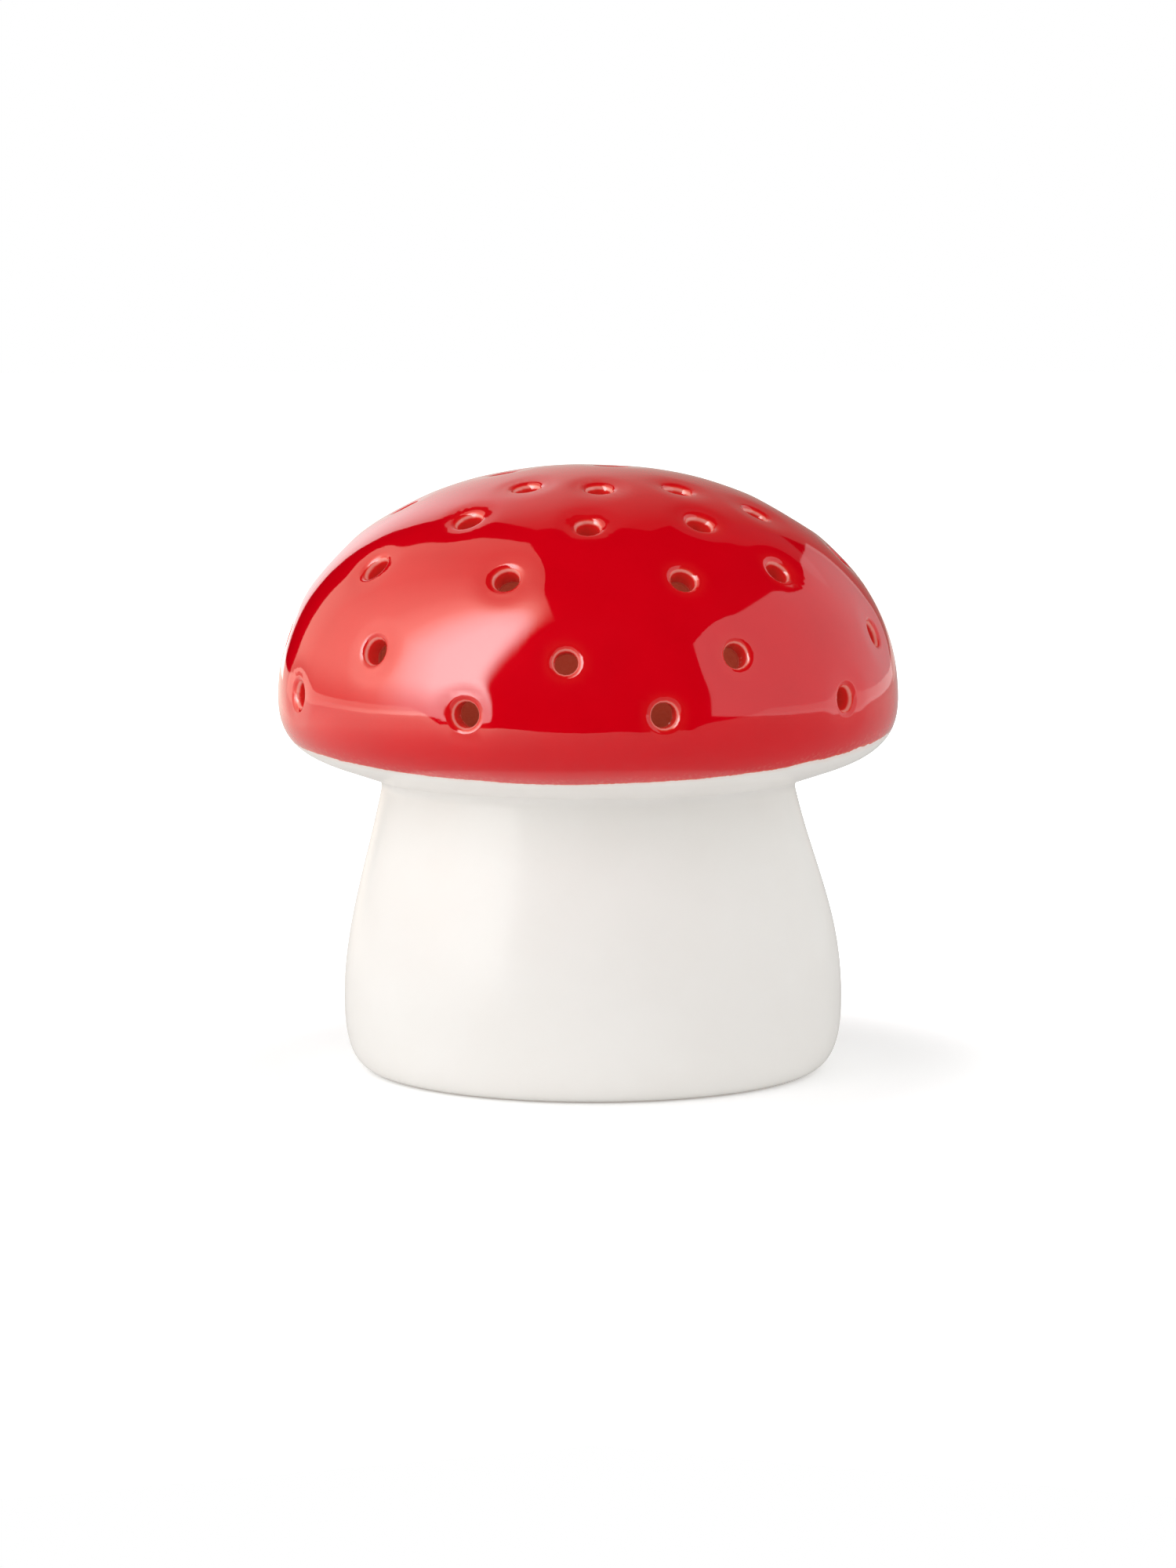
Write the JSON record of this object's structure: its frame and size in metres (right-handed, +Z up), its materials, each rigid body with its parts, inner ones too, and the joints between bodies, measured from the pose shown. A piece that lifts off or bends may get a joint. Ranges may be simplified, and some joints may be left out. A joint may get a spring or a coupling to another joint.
{
  "type": "ceramic mushroom light",
  "caption": "Glazed ceramic mushroom with a pierced red cap and white stem, lit from inside by a battery light module that pulls out of its foot.",
  "frame": {"origin": "centre of the foot ring, on the surface that the mushroom stands on", "axes": "+Z up through the cap's crown, -Y towards the front, +X to the right seen from the front"},
  "size_m": [0.1, 0.1, 0.0975],
  "materials": {
    "glaze": "glossy glaze, red over the cap, white below its rim, bare clay on the foot ring",
    "silicone": "translucent matte silicone",
    "housing_abs": "matte moulded white ABS",
    "zinc_steel": "zinc-plated steel",
    "nylon": "natural nylon",
    "cell_wrap": "dark printed wrap over a metal can",
    "contact_steel": "nickel-plated spring steel",
    "board_laminate": "white solder mask over glass laminate",
    "led_package": "white moulded package",
    "phosphor": "yellow phosphor gel",
    "chip_epoxy": "black moulded epoxy",
    "resistor_ceramic": "black film on ceramic",
    "switch_shell": "tinned steel shell",
    "slider_acetal": "black acetal",
    "opal_diffuser": "opal polycarbonate"
  },
  "bodies": {
    "ceramic": {"ceramic_cap": "glaze", "ceramic_stem": "glaze"},
    "light_module": {"module_housing": "housing_abs", "retaining_gasket": "silicone", "battery_left": "cell_wrap", "battery_right": "cell_wrap", "positive_plate": "contact_steel", "negative_leaf": "contact_steel", "series_bridge": "contact_steel", "circuit_board": "board_laminate", "leds": "led_package", "led_phosphors": "phosphor", "driver_chip": "chip_epoxy", "resistors": "resistor_ceramic", "board_screws": "zinc_steel", "switch_body": "switch_shell", "diffuser_dome": "opal_diffuser"},
    "battery_door": {"battery_door": "housing_abs"},
    "screw_washer": {"screw_washer": "nylon"},
    "door_screw": {"door_screw": "zinc_steel"},
    "switch_slider": {"switch_slider": "slider_acetal"}
  },
  "joints": [
    {"name": "module_pull", "type": "slide", "parent": "ceramic", "child": "light_module", "axis": [0, 0, -1], "range_m": [0, 0.035]},
    {"name": "door_hinge", "type": "hinge", "parent": "light_module", "child": "battery_door", "pos_m": [-0.0152, 0, 0.0023], "axis": [0, 1, 0], "range_deg": [0, 75]},
    {"name": "switch_slide", "type": "slide", "parent": "light_module", "child": "switch_slider", "axis": [0, 1, 0], "range_m": [0, 0.003]},
    {"name": "screw_lift", "type": "slide", "parent": "battery_door", "child": "screw_washer", "axis": [0, 0, -1], "range_m": [0, 0.003]},
    {"name": "screw_turn", "type": "hinge", "parent": "screw_washer", "child": "door_screw", "pos_m": [0.0175, 0, 0.003], "axis": [0, 0, -1], "range_deg": [0, 1350]}
  ],
  "couplings": [
    {"joint": "screw_turn", "follows": "screw_lift", "rad_per_m": 7854}
  ]
}
